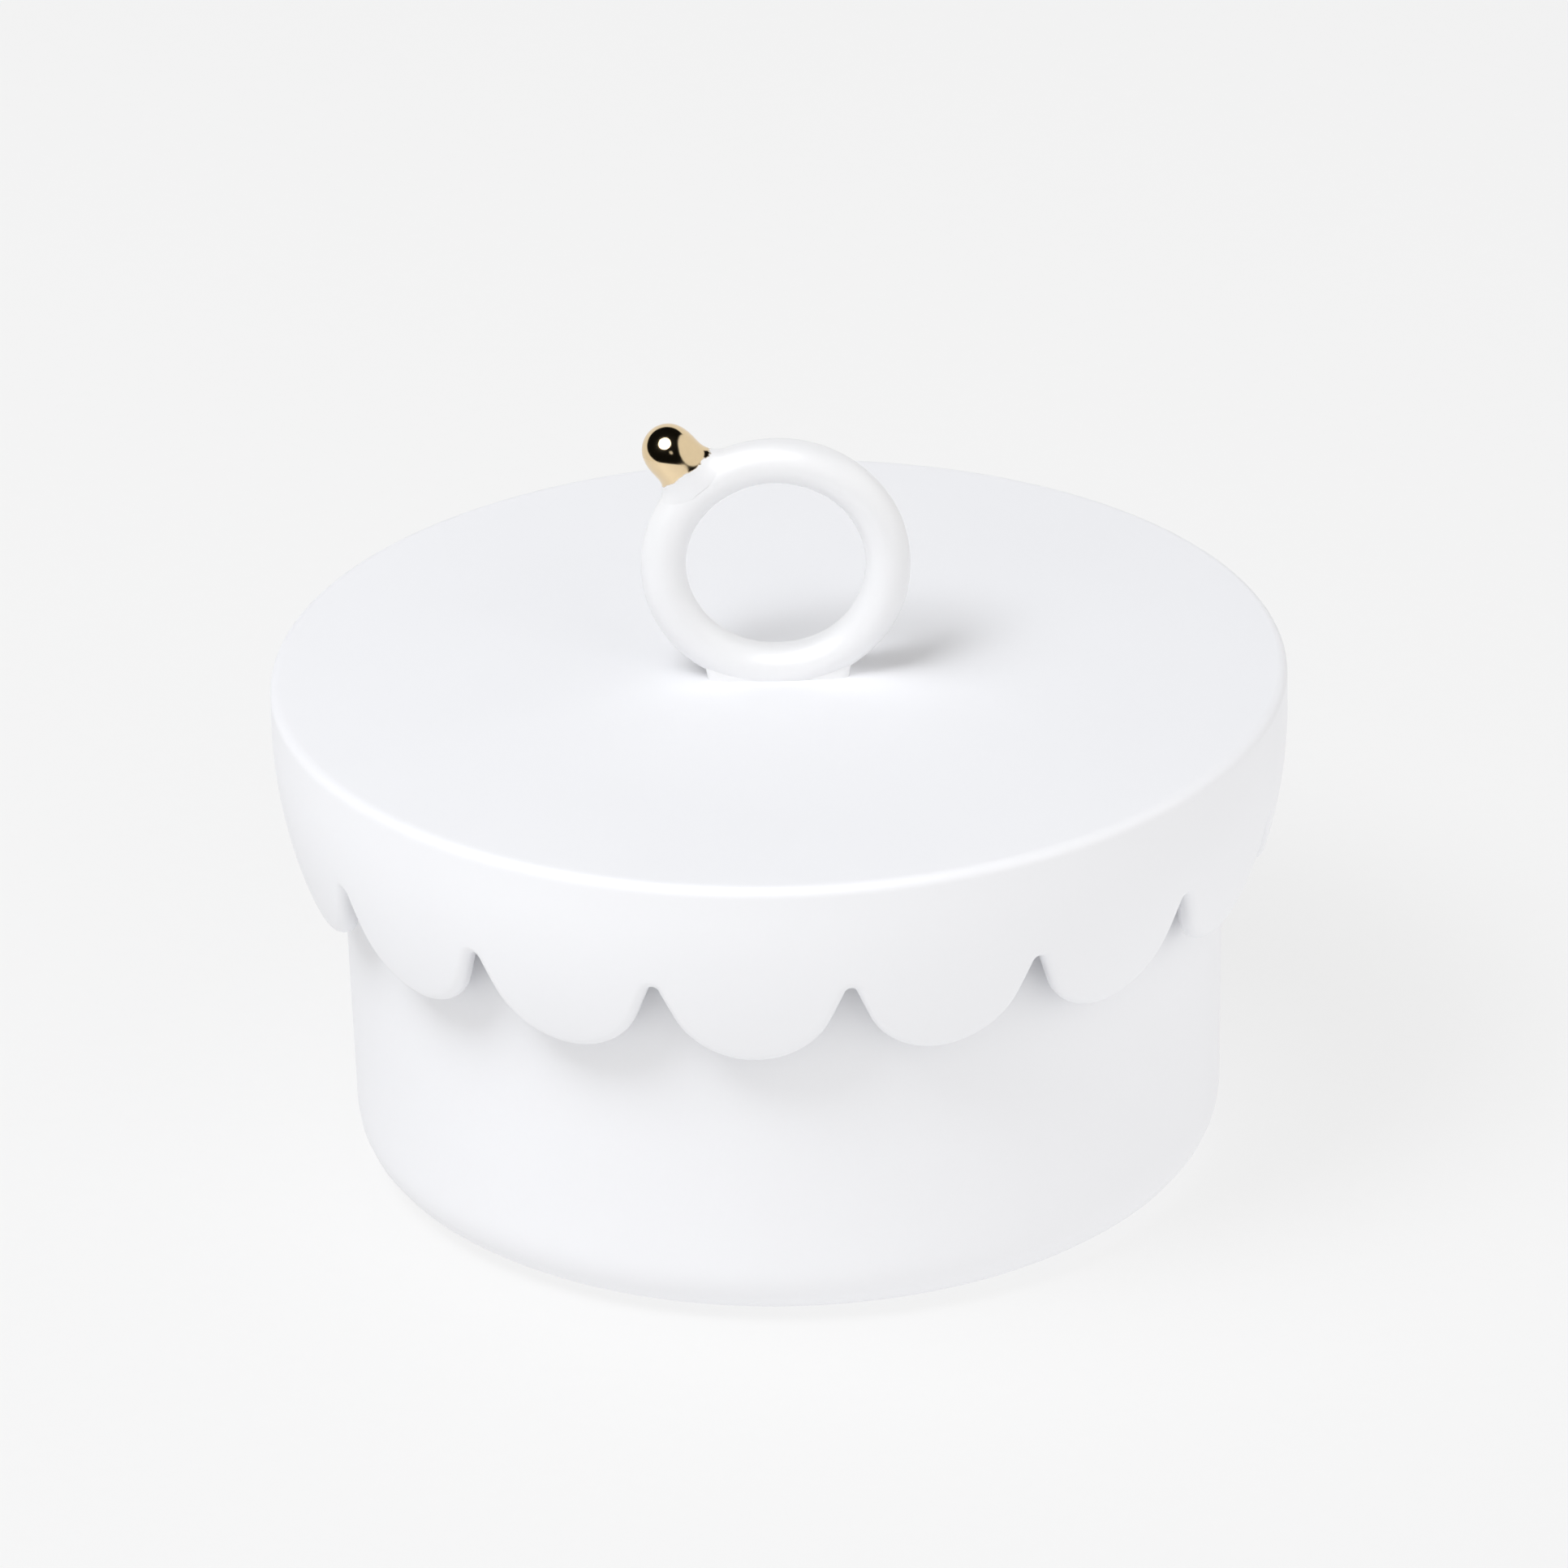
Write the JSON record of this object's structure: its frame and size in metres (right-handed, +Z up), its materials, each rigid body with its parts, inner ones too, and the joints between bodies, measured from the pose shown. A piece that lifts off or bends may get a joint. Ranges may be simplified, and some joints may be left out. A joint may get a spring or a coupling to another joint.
{
  "type": "cosmetic cream jar",
  "caption": "Round porcelain cream jar with a scalloped lift-off lid, an upright ring handle with a gilded bead, and a plastic cup inside.",
  "frame": {"origin": "centre of the underside, on the surface that the jar stands on", "axes": "+Z up along the jar's axis; the ring handle stands in the XZ plane and faces -Y, with its bead towards -X"},
  "size_m": [0.09, 0.09, 0.0703],
  "materials": {
    "jar_porcelain": "matte",
    "lid_porcelain": "matte",
    "handle_glaze": "gloss",
    "foot_glaze": "gloss",
    "gold_lustre": "polished",
    "pad_silicone": "matte",
    "seat_silicone": "satin",
    "gasket_silicone": "satin",
    "cup_plastic": "satin",
    "disc_plastic": "satin",
    "insert_plastic": "satin",
    "liner_foam": "matte"
  },
  "bodies": {
    "jar": {"jar_body": "jar_porcelain", "foot_pads": "pad_silicone", "cup_seat_ring": "seat_silicone"},
    "cup": {"inner_cup": "cup_plastic"},
    "disc": {"sealing_disc": "disc_plastic"},
    "seal": {"lid_gasket": "gasket_silicone"},
    "lid": {"lid_shell": "lid_porcelain", "lid_insert": "insert_plastic", "lid_liner": "liner_foam", "ring_handle": "handle_glaze", "handle_foot": "foot_glaze", "gilded_bead": "gold_lustre"}
  },
  "joints": [
    {"name": "cup_lift", "type": "slide", "parent": "jar", "child": "cup", "axis": [0, 0, 1], "range_m": [0, 0.045]},
    {"name": "disc_lift", "type": "slide", "parent": "cup", "child": "disc", "axis": [0, 0, 1], "range_m": [0, 0.02]},
    {"name": "lid_lift", "type": "slide", "parent": "disc", "child": "seal", "axis": [0, 0, 1], "range_m": [0, 0.04]},
    {"name": "lid_turn", "type": "hinge", "parent": "seal", "child": "lid", "pos_m": [0, 0, 0.046], "axis": [0, 0, 1], "continuous": true}
  ]
}
